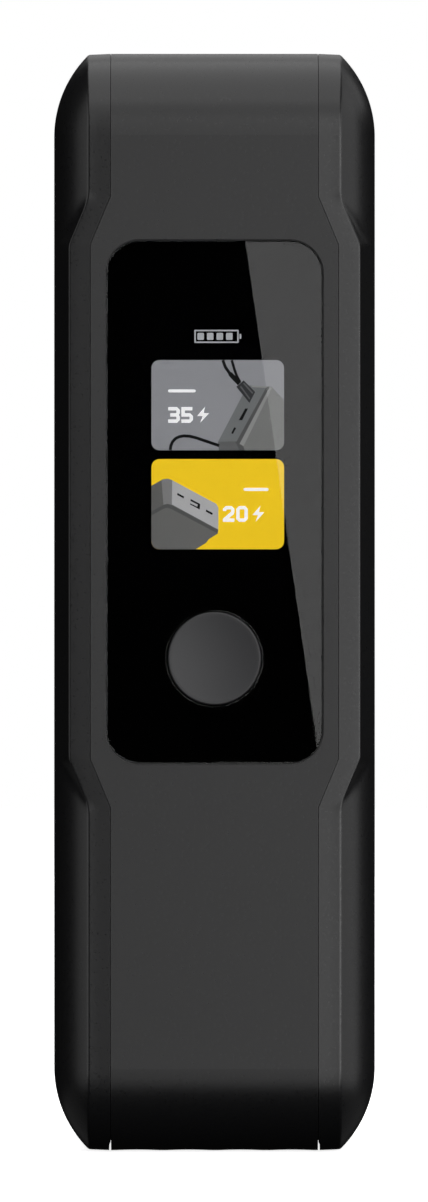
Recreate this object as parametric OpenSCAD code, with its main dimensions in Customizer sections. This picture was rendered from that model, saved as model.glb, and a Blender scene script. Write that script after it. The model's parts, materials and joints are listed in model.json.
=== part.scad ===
// Portable battery pack with a display window, one push button and a row of three sockets.
// It stands on its base, with the display facing -Y and the broad faces towards -X and +X.
// The origin is the middle of the base. All sizes are in millimetres.

/* [Case] */
// Thickness of the case, across its two broad faces
case_t = 32; // [31:0.5:39]
// Depth of the case, from the display face to the back face
case_d = 68; // [66:0.5:82]
// Height of the case
case_h = 109.4; // [107:0.2:132]
// Radius of the rounded long edges
edge_r = 11.5; // [9.6:0.1:13.8]
// How far the rounded edges reach in from the faces they start on
edge_depth = 8.3; // [7.2:0.1:9]
// Wall of the covers and the frame
wall = 1.8; // [1.5:0.05:2.2]
// Slope of the covers' margin beside the frame, in degrees
margin_tilt = 2.4; // [1:0.2:4]
// Width of the covers' margin, from the parting line to the crisp edge
margin_w = 2.15; // [1.8:0.05:2.6]
// Facet along the crisp edge, measured across the margin
edge_facet = 0.09; // [0.05:0.01:0.15]

/* [Raised middle] */
// How much further the raised middle of the display face reaches to each side
raise_w = 2; // [1.6:0.05:2.4]
// Height of the raised middle at its full width
raise_h = 51.1; // [45:0.1:62]
// Height of each ramp at the ends of the raised middle
ramp_h = 4.8; // [4:0.1:6]
// Distance from the base to the middle of the raised area and the window
window_z = 64.65; // [62:0.05:66]

/* [Frame joint] */
// Gap between the covers and the frame
part_gap = 0.05; // [0.03:0.01:0.1]
// Width of the drain slits between the covers and the frame, under the base
slit_w = 0.15; // [0.1:0.01:0.2]
// Depth of the slits under the base
slit_depth = 0.9; // [0.5:0.05:0.95]
// How far the frame's lip reaches behind the covers
lip_reach = 1.5; // [1.2:0.1:2]
// Depth of the lip below the outer surface
lip_inset = 1; // [0.95:0.05:1.2]
// Clearance round the lip
lip_fit = 0.06; // [0.04:0.01:0.1]
// Depth of the shallow flutes along the base
flute_depth = 0.09; // [0.05:0.01:0.2]
// Width of the lands between the flutes
flute_land = 0.4; // [0.3:0.1:0.8]

/* [Window] */
// Width of the cover glass
glass_w = 21.45; // [19:0.05:22]
// Height of the cover glass
glass_h = 51.9; // [50:0.1:56]
// Corner radius of the cover glass
glass_r = 3.3; // [2:0.1:5]
// Thickness of the cover glass
glass_t = 0.9; // [0.75:0.05:1.1]
// Gap round the edge of the cover glass
glass_gap = 0.15; // [0.1:0.01:0.2]
// How far the glass sits below the face
glass_sink = 0.05; // [0:0.01:0.1]
// Thickness of the adhesive behind the glass
tape_t = 0.15; // [0.12:0.01:0.2]

/* [Screen] */
// Width of the screen panel
screen_w = 17.2; // [15:0.1:17.4]
// Height of the screen panel
screen_h = 28.6; // [24:0.2:29]
// Thickness of the screen panel
screen_t = 1.2; // [1:0.05:1.4]
// Thickness of the light unit behind the panel
light_t = 0.8; // [0.7:0.05:0.95]
// Height of the screen panel's middle above the window's middle
screen_rise = 6.1; // [5.9:0.1:6.6]
// Clearance round the panel in the frame
screen_fit = 0.2; // [0.1:0.05:0.3]

/* [Button] */
// Radius of the push button
button_r = 4.6; // [3.9:0.1:4.8]
// Distance of the button's centre below the window's middle
button_drop = 15.55; // [15.3:0.05:16]
// Travel of the button
button_travel = 0.3; // [0.2:0.01:0.34]
// Radial clearance of the button in the frame
button_fit = 0.09; // [0.05:0.01:0.1]
// Depth of the dish in the button's face
dish_depth = 0.35; // [0.2:0.05:0.5]
// Width of the button's retaining flange beyond its radius
button_flange = 0.9; // [0.7:0.05:1]

/* [Sockets] */
// Distance between neighbouring sockets
socket_pitch = 18; // [15:0.5:18.4]
// Width of the large socket's shell
a_w = 13.2; // [13.1:0.05:13.6]
// Height of the large socket's shell
a_h = 5.8; // [5.7:0.05:6]
// Depth of the large socket
a_depth = 13.9; // [11.6:0.1:16]
// Width of a small socket's shell
c_w = 8.94; // [8.9:0.02:9.1]
// Height of a small socket's shell
c_h = 3.26; // [3.2:0.02:3.4]
// Depth of a small socket
c_depth = 7.3; // [7:0.1:8.5]
// Wall of the socket shells
shell_wall = 0.3; // [0.25:0.01:0.35]
// Clearance round a socket in the frame
socket_gap = 0.15; // [0.1:0.01:0.2]
// How far the sockets sit below the top face
socket_sink = 0.2; // [0:0.05:0.5]

/* [Boards and battery] */
// Thickness of the main board
board_t = 1.6; // [1.2:0.1:2]
// Height of the main board
board_h = 17.4; // [16.8:0.1:20]
// Thickness of the display board
display_board_t = 0.8; // [0.7:0.1:1]
// Foam between each cell and its cover
pad_t = 1.3; // [1.1:0.1:1.6]
// Adhesive tape between the cells
cell_tape_t = 1; // [0.8:0.1:1.2]
// Least distance kept between the cells and the case's corners
cell_clear = 0.25; // [0.2:0.05:0.5]
// Radius of the battery leads
lead_r = 0.8; // [0.65:0.05:0.95]

/* [Hidden] */

$fn = 64;
eps = 0.01;

// Case outline
half_t = case_t / 2;
front_y = -case_d / 2;
back_y = case_d / 2;
edge_x = half_t - edge_r;
corner_y = case_d / 2 - edge_depth;
low_z = edge_depth;
high_z = case_h - edge_depth;
face_half = edge_x + sqrt(edge_r * edge_r - edge_depth * edge_depth);
part_half = face_half - margin_w;
margin_drop = margin_w * tan(margin_tilt);
facet_slope = 25;

// Raised middle: its wall leaves the crisp edge and meets the rounded edge almost tangentially
raised_half = face_half + raise_w;
wall_run = sqrt(pow(raised_half - edge_x, 2) + pow(edge_depth, 2));
wall_turn = acos(edge_r / wall_run) - atan(edge_depth / (raised_half - edge_x));
wall_end_x = edge_x + edge_r * cos(wall_turn);
wall_end_d = edge_depth + edge_r * sin(wall_turn);
wall_lean = 0.96;
foot_x = raised_half + (wall_end_x - raised_half) * wall_lean;
foot_grow = foot_x - raised_half;
ramp_angle = atan(raise_w / ramp_h);

// Depths behind the display face
pocket_d = glass_sink + glass_t + tape_t;
pad_wall = 1.6;
pad_back_d = pocket_d + pad_wall;
pad_margin = 0.9;
pad_half_w = glass_w / 2 + pad_margin;
pad_half_h = glass_h / 2 + pad_margin;
ledge_t = 1;
ledge_back_d = pocket_d + ledge_t;
flange_d = ledge_back_d + 0.05;
flange_t = 0.6;
post_r = 1.2;
post_end_d = flange_d + flange_t + 0.2;
plunger_gap = 0.03;
plunger_d = post_end_d + plunger_gap;
plunger_r = 0.7;
plunger_len = 0.4;
switch_top_d = post_end_d + button_travel + 0.1;
switch_wall = 0.15;
switch_t = 0.8;
display_board_d = switch_top_d + switch_t;
display_back_d = display_board_d + display_board_t;
display_screw_head_t = 0.5;
sheet_t = 0.15;
stack_d = display_back_d + display_screw_head_t + 0.45;
button_z = window_z - button_drop;
screen_z = window_z + screen_rise;
display_board_w = glass_w - 0.8;
display_board_low = window_z - glass_h / 2 + 0.2;
display_screw_edge = 1.75;
display_screw_x = display_board_w / 2 - display_screw_edge;
display_post_r = 1.6;
pilot_start_d = pocket_d + 0.8;
screw_pilot_r = 0.55;
screw_fit = 0.05;

// Battery
inner_r = edge_r - wall;
cell_x = half_t - wall - pad_t;
cell_t = cell_x - cell_tape_t / 2;
cell_inset = edge_depth - sqrt((2 * inner_r * pad_t - pad_t * pad_t) / 2) + cell_clear;
cell_front_y = front_y + stack_d;
cell_back_y = back_y - cell_inset;
cell_low_z = cell_inset;
tab_h = 1.1;
protection_t = 0.8;
board_high_z = case_h - wall - 0.4;
board_low_z = board_high_z - board_h;
protection_gap = 0.85;
cell_high_z = board_low_z - protection_gap - protection_t - tab_h;
cell_round = 2.5;
display_board_high = cell_high_z + 4.75;
display_screw_z = [display_board_low + display_screw_edge, display_board_high - display_screw_edge];
protection_z = cell_high_z + tab_h;
protection_top = protection_z + protection_t;
tab_y = 12;
tab_w = 5;
tab_t = 0.2;

// Main board and its sockets
board_x = -a_h / 2;
board_back_x = board_x - board_t;
board_half_y = case_d / 2 - 7;
socket_top_z = case_h - socket_sink;
bracket_w = 4;
bracket_y = board_half_y - bracket_w / 2;
bracket_x = 4.5;
bracket_h = 9;
board_screw_z = case_h - wall - bracket_h + 1.6;
board_screw_r = 0.75;
inductor_w = 7.3;
inductor_t = 4.5;
inductor_y = 14.5;
inductor_z = board_low_z + 0.9 + inductor_w / 2;
capacitor_r = 2;
capacitor_y = inductor_y + inductor_w / 2 + 0.5 + capacitor_r;
chip_z = board_low_z + 7.5;
chip_y = 8;
chip_t = 0.9;
lead_y = 4;
lead_x = 3;
lead_z = protection_top + 3.8;
cable_r = 0.7;
controller_w = 5;
microcontroller_w = 4;
mosfet_w = 3;
mosfet_y = [-17, -13, 13, 17];
thermal_pad_t = 1;
thermal_pad_half = 19;
spreader_t = 0.8;
a_tongue_w = 11.1;
a_tongue_t = 1.84;
a_tongue_x = 0.1;
a_floor = 1;
a_tongue_len = a_depth - a_floor - 0.9;
c_floor = 0.8;
plug_w = 5;
plug_t = 1.8;
plug_y = -board_half_y + 1.1;
plug_z = board_low_z + 3.4;
cable_socket_x = 4.5;
cable_socket_z = display_board_high - 2.2;
cable_socket_t = 1.6;

// Screws that hold the frame to the left cover
lug_t = 2;
lug_x = -part_half + 1.2;
cover_screw_r = 0.8;
cover_boss_r = 1.5;
lug_z = [low_z + 12, high_z - 4];
lug_half = 1.55;
lug_front_y = cell_front_y - 0.05 - lug_half;
lug_back_y = cell_back_y + 0.05 + lug_half;

// Routes of the cable and the leads: straight out of each end, with a round bend between
function bend(a, b, r, n) = [for (i = [0:n]) let (t = 90 * i / n) a * (1 - cos(t)) * r + b * sin(t) * r];

cable_start = [cable_socket_x, front_y + display_back_d + cable_socket_t, cable_socket_z];
cable_route = [
    cable_start,
    [cable_start[0], plug_y - 0.8, cable_start[2]],
    [cable_start[0] - 0.3, plug_y, cable_start[2] + 0.6],
    [cable_start[0] - 1.8, plug_y, plug_z - 0.4],
    [cable_start[0] - 3.8, plug_y, plug_z],
    [board_x + plug_t, plug_y, plug_z]];

function lead_route(y) = concat(
    [[lead_x, y, protection_top]],
    [for (p = bend([-1, 0, 0], [0, 0, 1], 2.4, 6)) [lead_x, y, lead_z - 2.4] + p],
    [[board_x, y, lead_z]]);

plastic = "#3d3d3f";
steel = "#b9bcc0";
board_green = "#1f5b3a";
black_part = "#17181a";

// Places shapes drawn in X and Z so that they run along Y, between two depths from the display face
module along_y(y0, y1) {
    translate([0, y1, 0]) rotate([90, 0, 0]) linear_extrude(y1 - y0) children();
}

module box(low, high) {
    translate(low) cube(high - low);
}

module rounded(w, h, r) {
    translate([-w / 2 + r, -h / 2]) square([w - 2 * r, h]);
    translate([-w / 2, -h / 2 + r]) square([w, h - 2 * r]);
    for (sx = [-1, 1], sy = [-1, 1])
        translate([sx * (w / 2 - r), sy * (h / 2 - r)]) circle(r = r);
}

// A rod along X, from one x to another
module rod_x(x0, x1, y, z, r) {
    translate([x0, y, z]) rotate([0, 90, 0]) cylinder(h = x1 - x0, r = r);
}

// A rod along Y, between two depths behind the display face
module rod_y(d0, d1, x, z, r) {
    translate([x, front_y + d1, z]) rotate([90, 0, 0]) cylinder(h = d1 - d0, r = r);
}

// Outer half of a section across the case: flat top, sloped margins, facets and rounded edges
module edge_profile(inset) {
    r = edge_r - inset;
    top = edge_depth - inset;
    facet_x = face_half - edge_facet;
    facet_top = top - (facet_x - part_half) * tan(margin_tilt);
    intersection() {
        union() {
            for (s = [-1, 1]) translate([s * edge_x, 0]) circle(r = r);
            translate([-edge_x, 0]) square([2 * edge_x, r]);
        }
        if (inset > 0)
            translate([-half_t, 0]) square([case_t, top]);
        else
            polygon([[-half_t, 0], [half_t, 0],
                [half_t, facet_top - (half_t - facet_x) * tan(facet_slope)], [facet_x, facet_top],
                [part_half, top], [-part_half, top], [-facet_x, facet_top],
                [-half_t, facet_top - (half_t - facet_x) * tan(facet_slope)]]);
    }
}

// The case with its rounded edges and corners, drawn in by an inset
module case_body(inset) {
    // upright part, with its rounded edges along the display face and the back
    translate([0, 0, low_z]) linear_extrude(high_z - low_z) {
        translate([-half_t + inset, -corner_y]) square([case_t - 2 * inset, 2 * corner_y]);
        for (s = [0, 1]) mirror([0, s]) translate([0, corner_y]) edge_profile(inset);
    }
    for (end = [0, 1]) translate([0, 0, end ? high_z : low_z]) mirror([0, 0, 1 - end]) {
        along_y(-corner_y, corner_y) edge_profile(inset);
        for (s = [0, 1]) mirror([0, s, 0]) translate([0, corner_y, 0])
            rotate([90, 0, 90]) rotate_extrude(angle = 90) rotate(-90) edge_profile(inset);
    }
}

// Outline of the raised middle, seen from the front
function raised_outline(end_half, mid_half, grow) = let (
        tall = raise_h / 2 + ramp_h + grow / sin(ramp_angle),
        full = raise_h / 2 + grow * tan(ramp_angle / 2))
    [[end_half, tall], [mid_half, full], [mid_half, -full], [end_half, -tall],
     [-end_half, -tall], [-mid_half, -full], [-mid_half, full], [-end_half, tall]];

module raised_slice(depth, end_half, mid_half, grow) {
    translate([0, 0, window_z]) along_y(front_y + depth, front_y + depth + eps)
        polygon(raised_outline(end_half, mid_half, grow));
}

module raised_middle() {
    hull() {
        raised_slice(0, part_half, part_half + raise_w, 0);
        raised_slice(margin_drop, face_half - edge_facet, raised_half - edge_facet, 0);
        raised_slice(margin_drop + edge_facet, face_half, raised_half, 0);
        raised_slice(wall_end_d * wall_lean, face_half, foot_x, foot_grow);
    }
}

module outer_case() {
    case_body(0);
    for (s = [0, 1]) mirror([0, s, 0]) raised_middle();
}

// Everything between the parting lines, widened by a distance on each side
module between_covers(extra) {
    end = part_half + extra;
    mid = part_half + raise_w + extra;
    low = window_z - raise_h / 2;
    high = window_z + raise_h / 2;
    along_y(front_y - 1, back_y + 1) polygon([
        [end, -1], [end, low - ramp_h], [mid, low], [mid, high], [end, high + ramp_h],
        [end, case_h + 1], [-end, case_h + 1], [-end, high + ramp_h], [-mid, high],
        [-mid, low], [-end, low - ramp_h], [-end, -1]]);
}

module port_holes() {
    for (i = [-1, 1]) translate([0, i * socket_pitch, case_h - wall - 1])
        linear_extrude(wall + 2) rotate(90)
            rounded(c_w + 2 * socket_gap, c_h + 2 * socket_gap, c_h / 2 + socket_gap - eps);
    translate([-a_h / 2 - socket_gap, -a_w / 2 - socket_gap, case_h - wall - 1])
        cube([a_h + 2 * socket_gap, a_w + 2 * socket_gap, wall + 2]);
}

module base_flutes() {
    pitch = part_half / 2;
    half_chord = (pitch - flute_land) / 2;
    r = (half_chord * half_chord + flute_depth * flute_depth) / (2 * flute_depth);
    for (x = [-1.5, -0.5, 0.5, 1.5] * pitch)
        translate([x, back_y + 1, flute_depth - r]) rotate([90, 0, 0])
            cylinder(h = case_d + 2, r = r, $fn = 256);
}

module cell_ribs() {
    rib_t = 2;
    rib_half = part_half - 1;
    for (y = [-0.3, 0, 0.3] * case_d)
        box([-rib_half, y - rib_t / 2, wall - eps], [rib_half, y + rib_t / 2, cell_low_z]);
    for (z = [0.3, 0.5, 0.7] * case_h)
        box([-rib_half, cell_back_y, z - rib_t / 2], [rib_half, back_y - wall + eps, z + rib_t / 2]);
}

module board_brackets() {
    for (s = [-1, 1])
        box([board_back_x - bracket_x, s * bracket_y - bracket_w / 2, case_h - wall - bracket_h],
            [board_back_x, s * bracket_y + bracket_w / 2, case_h - wall + eps]);
}

module screw_lugs() {
    for (z = lug_z) {
        box([lug_x, front_y + wall - eps, z - 2], [lug_x + lug_t, lug_front_y + lug_half, z + 2]);
        box([lug_x, lug_back_y - lug_half, z - 2], [lug_x + lug_t, back_y - wall + eps, z + 2]);
    }
}

module each_cover_screw() {
    for (y = [lug_front_y, lug_back_y], z = lug_z) translate([0, y, z]) children();
}

module each_display_screw() {
    for (x = [-1, 1] * display_screw_x, z = display_screw_z) translate([x, 0, z]) children();
}

module centre_frame() {
    color(plastic) difference() {
        union() {
            intersection() {
                difference() {
                    outer_case();
                    case_body(wall);
                }
                between_covers(0);
            }
            intersection() {
                difference() {
                    case_body(lip_inset);
                    case_body(wall);
                }
                between_covers(lip_reach);
            }
            // thicker panel behind the glass, with posts for the display board
            translate([0, 0, window_z]) along_y(front_y + pocket_d - eps, front_y + pad_back_d)
                square([2 * pad_half_w, 2 * pad_half_h], center = true);
            each_display_screw() rod_y(wall - eps, display_board_d, 0, 0, display_post_r);
            cell_ribs();
            board_brackets();
            screw_lugs();
        }
        // pocket for the glass
        translate([0, 0, window_z]) along_y(front_y - 1, front_y + pocket_d)
            rounded(glass_w + 2 * glass_gap, glass_h + 2 * glass_gap, glass_r + glass_gap);
        // window for the screen
        translate([0, 0, screen_z]) along_y(front_y, front_y + pad_back_d + 1)
            square([screen_w + 2 * screen_fit, screen_h + 2 * screen_fit], center = true);
        // guide for the button and room for its flange
        rod_y(pocket_d - 1, pad_back_d + 1, 0, button_z, button_r + button_fit);
        rod_y(ledge_back_d, pad_back_d + 1, 0, button_z, button_r + button_flange + 0.25);
        port_holes();
        base_flutes();
        each_display_screw() rod_y(pilot_start_d, display_board_d + 1, 0, 0, screw_pilot_r);
        each_cover_screw() rod_x(lug_x - 1, lug_x + lug_t + 1, 0, 0, cover_screw_r + 0.1);
        for (s = [-1, 1])
            rod_x(board_back_x - bracket_x + 0.8, board_back_x + 1, s * bracket_y, board_screw_z,
                board_screw_r + screw_fit);
    }
}

// One cover; side is -1 for the left one and 1 for the right one
module cover(side) {
    difference() {
        intersection() {
            outer_case();
            translate([side * case_t / 2, 0, case_h / 2])
                cube([case_t, case_d + 2, case_h + 2], center = true);
        }
        case_body(wall);
        between_covers(part_gap);
        intersection() {
            case_body(lip_inset - lip_fit);
            between_covers(lip_reach + lip_fit);
        }
        // slit under the base
        translate([side * (part_half + slit_w / 2), 0, slit_depth / 2 - eps])
            cube([slit_w, case_d + 2, slit_depth + 2 * eps], center = true);
    }
}

module left_cover() {
    boss_x = half_t - wall / 2;
    color(plastic) difference() {
        union() {
            cover(-1);
            intersection() {
                case_body(wall / 2);
                difference() {
                    each_cover_screw() rod_x(-boss_x, lug_x, 0, 0, cover_boss_r);
                    between_covers(lip_reach + lip_fit);
                }
            }
            each_cover_screw() rod_x(-cell_x, lug_x, 0, 0, cover_boss_r);
        }
        each_cover_screw() rod_x(-cell_x + 0.4, lug_x + 1, 0, 0, cover_screw_r + screw_fit);
    }
}

module right_cover() {
    color(plastic) cover(1);
}

module cover_screws() {
    head_r = 1.5;
    color(steel) each_cover_screw() {
        rod_x(-cell_x + 0.9, lug_x + lug_t + eps, 0, 0, cover_screw_r);
        rod_x(lug_x + lug_t, lug_x + lug_t + 1, 0, 0, head_r);
    }
}

module display_glass() {
    color("#050506") difference() {
        translate([0, 0, window_z]) along_y(front_y + glass_sink, front_y + glass_sink + glass_t)
            rounded(glass_w, glass_h, glass_r);
        rod_y(-1, pocket_d + 1, 0, button_z, button_r + glass_gap);
    }
}

module glass_tape() {
    hole = button_r + glass_gap + 0.2;
    color("#202020") difference() {
        translate([0, 0, window_z]) along_y(front_y + glass_sink + glass_t, front_y + pocket_d)
            rounded(glass_w, glass_h, glass_r);
        translate([0, 0, screen_z]) along_y(front_y, front_y + pocket_d + 1)
            square([screen_w + 2 * screen_fit, screen_h + 2 * screen_fit], center = true);
        rod_y(-1, pocket_d + 1, 0, button_z, hole);
    }
}

module screen_block(d0, d1, trim) {
    translate([0, 0, screen_z]) along_y(front_y + d0, front_y + d1)
        square([screen_w - 2 * trim, screen_h - 2 * trim], center = true);
}

module screen_adhesive() {
    color("#c8d4dc") screen_block(glass_sink + glass_t, pocket_d, 0.3);
}

module screen_panel() {
    color("#101317") screen_block(pocket_d, pocket_d + screen_t, 0);
}

module screen_light() {
    color("#c9ccd1") screen_block(pocket_d + screen_t, pocket_d + screen_t + light_t, 0);
}

module screen_foam() {
    color("#33363a") screen_block(pocket_d + screen_t + light_t, display_board_d, 3);
}

// Ribbon that leaves the back of the light unit below the foam and ends on the display board
module screen_flex() {
    flex_t = 0.12;
    low = screen_z - screen_h / 2;
    start_d = pocket_d + screen_t + light_t;
    color("#b5762a") {
        box([-4, front_y + start_d, low + 0.4], [4, front_y + start_d + flex_t, low + 2.4]);
        box([-4, front_y + start_d, low + 0.4], [4, front_y + display_board_d, low + 0.4 + flex_t]);
        box([-4, front_y + display_board_d - flex_t, low + 0.4], [4, front_y + display_board_d, low + 2.4]);
    }
}

module display_board() {
    color(board_green) difference() {
        box([-display_board_w / 2, front_y + display_board_d, display_board_low],
            [display_board_w / 2, front_y + display_back_d, display_board_high]);
        each_display_screw() rod_y(display_board_d - 1, display_back_d + 1, 0, 0, 0.7);
    }
}

module display_screws() {
    color(steel) each_display_screw() {
        rod_y(pilot_start_d + 0.2, display_back_d + eps, 0, 0, screw_pilot_r - screw_fit);
        rod_y(display_back_d, display_back_d + display_screw_head_t, 0, 0, 1.15);
    }
}

module button_cap() {
    dish_half = button_r - 0.25;
    dish_r = (dish_half * dish_half + dish_depth * dish_depth) / (2 * dish_depth);
    color("#4a4a4c") difference() {
        union() {
            rod_y(glass_sink, flange_d + eps, 0, button_z, button_r);
            rod_y(flange_d, flange_d + flange_t, 0, button_z, button_r + button_flange);
            rod_y(flange_d + flange_t - eps, post_end_d, 0, button_z, post_r);
        }
        translate([0, front_y + glass_sink + dish_depth - dish_r, button_z])
            sphere(r = dish_r, $fn = 128);
    }
}

module switch_body() {
    half_w = 2.1;
    half_h = 1.6;
    color("#2a2a2a") difference() {
        box([-half_w, front_y + switch_top_d, button_z - half_h],
            [half_w, front_y + display_board_d, button_z + half_h]);
        rod_y(switch_top_d + switch_wall, display_board_d - switch_wall, 0, button_z, 1.3);
        rod_y(switch_top_d - 1, switch_top_d + switch_wall + eps, 0, button_z, plunger_r + 0.08);
    }
}

// Spring leaf with a flat crown, raised towards the plunger
module switch_dome() {
    dome_h = 0.12;
    rim_r = 1.2;
    leaf_t = 0.06;
    rim_d = display_board_d - switch_wall;
    color("#d8c27a") difference() {
        dome_form(rim_d, dome_h, rim_r);
        dome_form(rim_d + leaf_t, dome_h, rim_r);
    }
}

module dome_form(d, h, r) {
    translate([0, front_y + d, button_z]) rotate([90, 0, 0]) cylinder(h = h, r1 = r, r2 = r / 2);
}

module switch_plunger() {
    color("#e6e6e6") rod_y(plunger_d, plunger_d + plunger_len, 0, button_z, plunger_r);
}

module main_board() {
    color(board_green) difference() {
        box([board_back_x, -board_half_y, board_low_z], [board_x, board_half_y, board_high_z]);
        for (s = [-1, 1])
            rod_x(board_back_x - 1, board_x + 1, s * bracket_y, board_screw_z, board_screw_r + 0.15);
    }
}

module board_screws() {
    color(steel) for (s = [-1, 1]) {
        rod_x(board_back_x - 3, board_x + eps, s * bracket_y, board_screw_z, board_screw_r);
        rod_x(board_x, board_x + 0.9, s * bracket_y, board_screw_z, 1.5);
    }
}

module usb_a_shell() {
    color(steel) difference() {
        translate([-a_h / 2, -a_w / 2, socket_top_z - a_depth]) cube([a_h, a_w, a_depth]);
        translate([-a_h / 2 + shell_wall, -a_w / 2 + shell_wall, socket_top_z - a_depth + a_floor])
            cube([a_h - 2 * shell_wall, a_w - 2 * shell_wall, a_depth]);
    }
}

module usb_a_tongue() {
    color("#f2f2ee")
        translate([a_tongue_x, -a_tongue_w / 2, socket_top_z - a_depth + a_floor])
            cube([a_tongue_t, a_tongue_w, a_tongue_len]);
}

module usb_a_contacts() {
    contact_t = 0.15;
    contact_w = 1;
    color("#d9b45a") for (y = [-3.5, -1, 1, 3.5])
        translate([a_tongue_x - contact_t, y - contact_w / 2, socket_top_z - a_depth + a_floor])
            cube([contact_t, contact_w, a_tongue_len - 1]);
}

module usb_c_shell(y) {
    color(steel) translate([0, y, socket_top_z - c_depth]) difference() {
        linear_extrude(c_depth) rotate(90) rounded(c_w, c_h, c_h / 2 - eps);
        translate([0, 0, c_floor]) linear_extrude(c_depth) rotate(90)
            rounded(c_w - 2 * shell_wall, c_h - 2 * shell_wall, c_h / 2 - shell_wall - eps);
    }
}

module usb_c_tongue(y) {
    tongue_w = 6.69;
    tongue_t = 0.7;
    color(black_part) translate([-tongue_t / 2, y - tongue_w / 2, socket_top_z - c_depth + c_floor])
        cube([tongue_t, tongue_w, c_depth - 2 * c_floor]);
}

// Plastic step that lifts a small socket to the middle of the case
module usb_c_base(y) {
    color(black_part) box([board_x, y - c_w / 2 + c_h / 2, socket_top_z - c_depth],
        [-c_h / 2, y + c_w / 2 - c_h / 2, board_high_z]);
}

module usb_c_shell_front() { usb_c_shell(-socket_pitch); }
module usb_c_tongue_front() { usb_c_tongue(-socket_pitch); }
module usb_c_base_front() { usb_c_base(-socket_pitch); }
module usb_c_shell_rear() { usb_c_shell(socket_pitch); }
module usb_c_tongue_rear() { usb_c_tongue(socket_pitch); }
module usb_c_base_rear() { usb_c_base(socket_pitch); }

module inductor(y) {
    color("#4a4c50") difference() {
        box([board_x, y - inductor_w / 2, inductor_z - inductor_w / 2],
            [board_x + inductor_t, y + inductor_w / 2, inductor_z + inductor_w / 2]);
        for (sy = [-1, 1], sz = [-1, 1])
            translate([0, y + sy * inductor_w / 2, inductor_z + sz * inductor_w / 2])
                rotate([45, 0, 0]) cube([2 * inductor_t + 8, 1.4, 1.4], center = true);
    }
}

module inductor_front() { inductor(-inductor_y); }
module inductor_rear() { inductor(inductor_y); }

module filter_capacitors() {
    color("#c4c7cc") for (s = [-1, 1])
        rod_x(board_x, board_x + 5.4, s * capacitor_y, board_low_z + 2.6, capacitor_r);
}

// A square chip on the back of the main board
module chip(y, w) {
    box([board_back_x - chip_t, y - w / 2, chip_z - w / 2], [board_back_x, y + w / 2, chip_z + w / 2]);
}

module charge_controller() {
    color(black_part) chip(-chip_y, controller_w);
}

module microcontroller() {
    color(black_part) chip(chip_y, microcontroller_w);
}

module power_mosfets() {
    color(black_part) for (y = mosfet_y) chip(y, mosfet_w);
}

module thermal_pad() {
    color("#9fb4c8") box([board_back_x - chip_t - thermal_pad_t, -thermal_pad_half, chip_z - 3],
        [board_back_x - chip_t, thermal_pad_half, chip_z + 3]);
}

module heat_spreader() {
    front_x = board_back_x - chip_t - thermal_pad_t;
    color("#a9adb2") box([front_x - spreader_t, -thermal_pad_half - 1, chip_z - 6],
        [front_x, thermal_pad_half + 1, chip_z + 8]);
}

module display_socket() {
    color("#ece7da") box([cable_socket_x - plug_w / 2, front_y + display_back_d, cable_socket_z - 1.2],
        [cable_socket_x + plug_w / 2, front_y + display_back_d + cable_socket_t, cable_socket_z + 1.2]);
}

module main_socket() {
    color("#ece7da") box([board_x, plug_y - 1, plug_z - plug_w / 2],
        [board_x + plug_t, plug_y + 1, plug_z + plug_w / 2]);
}

// Sweeps an eight-sided tube along a route; each ring faces the mean direction of its neighbours
function unit(v) = v / norm(v);
function route_direction(p, i) = i == 0 ? unit(p[1] - p[0])
    : i == len(p) - 1 ? unit(p[i] - p[i - 1])
    : unit(unit(p[i] - p[i - 1]) + unit(p[i + 1] - p[i]));

module tube(route, r, side) {
    n = 8;
    last = len(route) - 1;
    points = [for (i = [0:last]) let (
            dir = route_direction(route, i),
            u = unit(cross(side, dir)),
            v = cross(dir, u))
        for (k = [0:n - 1]) route[i] + r * (cos(360 * k / n) * u + sin(360 * k / n) * v)];
    walls = [for (i = [0:last - 1], k = [0:n - 1], half = [0, 1]) let (
            m = (k + 1) % n,
            near = i * n,
            far = near + n)
        half ? [near + k, far + k, far + m] : [near + k, far + m, near + m]];
    polyhedron(points, concat([[for (k = [0:n - 1]) k]],
        [[for (k = [n - 1:-1:0]) last * n + k]], walls));
}

module display_cable() {
    color("#3a3a3a") tube(cable_route, cable_r, [0, 0, 1]);
}

module battery_lead_red() {
    color("#b3201c") tube(lead_route(-lead_y), lead_r, [0, 1, 0]);
}

module battery_lead_black() {
    color("#151515") tube(lead_route(lead_y), lead_r, [0, 1, 0]);
}

module battery_cell(side) {
    middle = (cell_front_y + cell_back_y) / 2;
    width = cell_back_y - cell_front_y;
    height = cell_high_z - cell_low_z;
    color("#9aa3ad") translate([side * (cell_tape_t + cell_t) / 2, middle, cell_low_z])
        linear_extrude(height) rounded(cell_t, width, cell_round);
}

module battery_cell_left() { battery_cell(-1); }
module battery_cell_right() { battery_cell(1); }

module cell_tape() {
    color("#e8e4d4") box([-cell_tape_t / 2, cell_front_y + 4, cell_low_z + 4],
        [cell_tape_t / 2, cell_back_y - 4, cell_high_z - 4]);
}

module cell_pad(side) {
    color("#2b2d30") translate([side * (cell_x + pad_t / 2), 0, 0])
        box([-pad_t / 2, -corner_y + 0.4, low_z + 0.4], [pad_t / 2, corner_y - 0.4, cell_high_z - 2]);
}

module cell_pad_left() { cell_pad(-1); }
module cell_pad_right() { cell_pad(1); }

module cell_tabs() {
    color("#cfd2d6") for (sx = [-1, 1], sy = [-1, 1])
        translate([sx * (cell_tape_t + cell_t) / 2, sy * tab_y, cell_high_z + tab_h / 2])
            cube([tab_t, tab_w, tab_h], center = true);
}

module protection_board() {
    half_y = tab_y + tab_w;
    color("#1d3f6b") box([-cell_x + 1, -half_y, protection_z], [cell_x - 1, half_y, protection_top]);
}

module protection_mosfet() {
    color(black_part) box([6, -1.5, protection_top], [10, 1.5, protection_top + 0.6]);
}

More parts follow.
